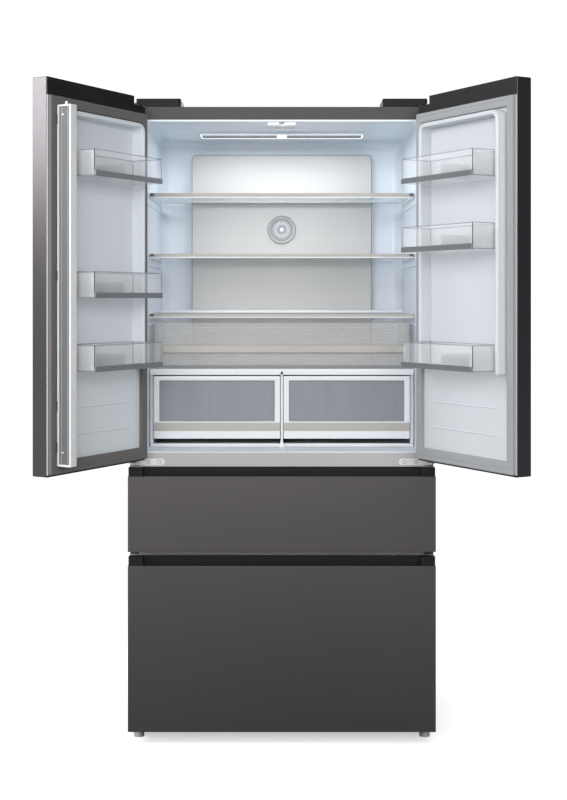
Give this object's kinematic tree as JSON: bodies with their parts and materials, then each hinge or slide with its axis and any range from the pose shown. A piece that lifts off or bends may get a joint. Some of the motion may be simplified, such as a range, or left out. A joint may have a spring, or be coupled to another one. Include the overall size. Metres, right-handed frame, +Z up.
{
  "type": "french door refrigerator",
  "caption": "Tall dark steel refrigerator with side-hinged fridge doors standing open over pull-out freezer drawers, with glass shelves, clear bins and crispers inside.",
  "frame": {"origin": "on the floor, under the middle of the box round the refrigerator with its doors open", "axes": "+Z up, the doors and drawers face -Y, +X is to the right seen from the front"},
  "size_m": [1.224, 1.0194, 1.756],
  "materials": {
    "painted_steel": "satin dark grey paint",
    "rear_steel": "zinc-coated steel",
    "dark_steel": "dark brushed steel, satin",
    "insulation": "rigid foam",
    "white_liner": "smooth white moulding",
    "grey_beam": "light grey paint",
    "black_plastic": "fine-grained black moulding",
    "grey_seal": "soft grey seal",
    "clear_bins": "clear moulding",
    "smoky_tub": "smoky translucent moulding",
    "basket_plastic": "milky translucent moulding",
    "shelf_glass": "clear glass",
    "bin_trim": "metallic grey trim",
    "duct_steel": "brushed vertical grain",
    "cap_plastic": "silver-grey moulding",
    "lamp_diffuser": "white diffuser",
    "zinc_steel": "zinc-plated steel",
    "mullion_plastic": "white moulding with steel face",
    "compressor_paint": "black enamel",
    "copper_tube": "copper tube with fins",
    "alu_fin": "bare aluminium",
    "pan_plastic": "plain moulding"
  },
  "bodies": {
    "cabinet": {"cabinet_shell": "painted_steel", "back_panel": "rear_steel", "machine_cover": "rear_steel", "base_frame": "rear_steel", "insulation_panels": "insulation", "fridge_liner": "white_liner", "freezer_liner": "white_liner", "evaporator_cover": "white_liner", "crisper_frame": "white_liner", "mullion_guide": "white_liner", "middle_beam": "grey_beam", "drawer_crossbeam": "grey_beam", "hinge_covers": "black_plastic", "control_box": "black_plastic", "upper_shelf": "shelf_glass", "lower_shelf": "shelf_glass", "cover_shelf": "shelf_glass", "duct_panel": "duct_steel", "purifier_cap": "cap_plastic", "ceiling_lamp": "lamp_diffuser", "door_hinges": "zinc_steel", "drawer_rails": "zinc_steel", "compressor": "compressor_paint", "condenser_coil": "copper_tube", "evaporator": "alu_fin", "drain_pan": "pan_plastic"},
    "left_door": {"left_door_skin": "dark_steel", "left_door_caps": "black_plastic", "left_door_foam": "insulation", "left_door_liner": "white_liner", "left_door_seal": "grey_seal", "left_door_bins": "clear_bins", "left_bin_trims": "bin_trim"},
    "mullion": {"flip_mullion": "mullion_plastic"},
    "right_door": {"right_door_skin": "dark_steel", "right_door_caps": "black_plastic", "right_door_foam": "insulation", "right_door_liner": "white_liner", "right_door_seal": "grey_seal", "right_door_bins": "clear_bins", "right_bin_trims": "bin_trim"},
    "fresh_tray": {"fresh_drawer": "clear_bins"},
    "left_crisper": {"left_crisper_tub": "smoky_tub", "left_crisper_front": "white_liner"},
    "right_crisper": {"right_crisper_tub": "smoky_tub", "right_crisper_front": "white_liner"},
    "upper_drawer": {"upper_drawer_front": "dark_steel", "upper_drawer_core": "white_liner", "upper_drawer_grip": "black_plastic", "upper_drawer_basket": "basket_plastic"},
    "lower_drawer": {"lower_drawer_front": "dark_steel", "lower_drawer_core": "white_liner", "lower_drawer_grip": "black_plastic", "lower_drawer_basket": "basket_plastic"},
    "left_foot": {"front_foot_left": "zinc_steel"},
    "right_foot": {"front_foot_right": "zinc_steel"},
    "left_roller": {"rear_roller_left": "black_plastic"},
    "right_roller": {"rear_roller_right": "black_plastic"},
    "cooling_fan": {"condenser_fan": "black_plastic"},
    "cold_fan": {"evaporator_fan": "black_plastic"}
  },
  "joints": [
    {"name": "left_door_swing", "type": "hinge", "parent": "cabinet", "child": "left_door", "pos_m": [-0.4043, -0.13302, 1.259], "axis": [0, 0, -1], "range_deg": [-119.4, 0]},
    {"name": "mullion_flip", "type": "hinge", "parent": "left_door", "child": "mullion", "pos_m": [-0.55235, -0.48784, 1.2375], "axis": [0, 0, 1], "range_deg": [-90, 0]},
    {"name": "right_door_swing", "type": "hinge", "parent": "cabinet", "child": "right_door", "pos_m": [0.4043, -0.13302, 1.259], "axis": [0, 0, 1], "range_deg": [-119.4, 0]},
    {"name": "fresh_tray_slide", "type": "slide", "parent": "cabinet", "child": "fresh_tray", "axis": [0, -1, 0], "range_m": [0, 0.19]},
    {"name": "left_crisper_slide", "type": "slide", "parent": "cabinet", "child": "left_crisper", "axis": [0, -1, 0], "range_m": [0, 0.3]},
    {"name": "right_crisper_slide", "type": "slide", "parent": "cabinet", "child": "right_crisper", "axis": [0, -1, 0], "range_m": [0, 0.3]},
    {"name": "upper_drawer_slide", "type": "slide", "parent": "cabinet", "child": "upper_drawer", "axis": [0, -1, 0], "range_m": [0, 0.38]},
    {"name": "lower_drawer_slide", "type": "slide", "parent": "cabinet", "child": "lower_drawer", "axis": [0, -1, 0], "range_m": [0, 0.3]},
    {"name": "left_foot_turn", "type": "hinge", "parent": "cabinet", "child": "left_foot", "pos_m": [-0.394, -0.06932, 0.03], "axis": [0, 0, 1], "range_deg": [0, 360]},
    {"name": "right_foot_turn", "type": "hinge", "parent": "cabinet", "child": "right_foot", "pos_m": [0.394, -0.06932, 0.03], "axis": [0, 0, 1], "range_deg": [0, 360]},
    {"name": "left_roller_spin", "type": "hinge", "parent": "cabinet", "child": "left_roller", "pos_m": [-0.33, 0.45468, 0.022], "axis": [1, 0, 0], "continuous": true},
    {"name": "right_roller_spin", "type": "hinge", "parent": "cabinet", "child": "right_roller", "pos_m": [0.33, 0.45468, 0.022], "axis": [1, 0, 0], "continuous": true},
    {"name": "cooling_fan_spin", "type": "hinge", "parent": "cabinet", "child": "cooling_fan", "pos_m": [-0.049, 0.39468, 0.15], "axis": [1, 0, 0], "continuous": true},
    {"name": "cold_fan_spin", "type": "hinge", "parent": "cabinet", "child": "cold_fan", "pos_m": [0, 0.36468, 0.665], "axis": [0, 1, 0], "continuous": true}
  ],
  "couplings": [
    {"joint": "mullion_flip", "follows": "left_door_swing", "ratio": 0.7537}
  ]
}
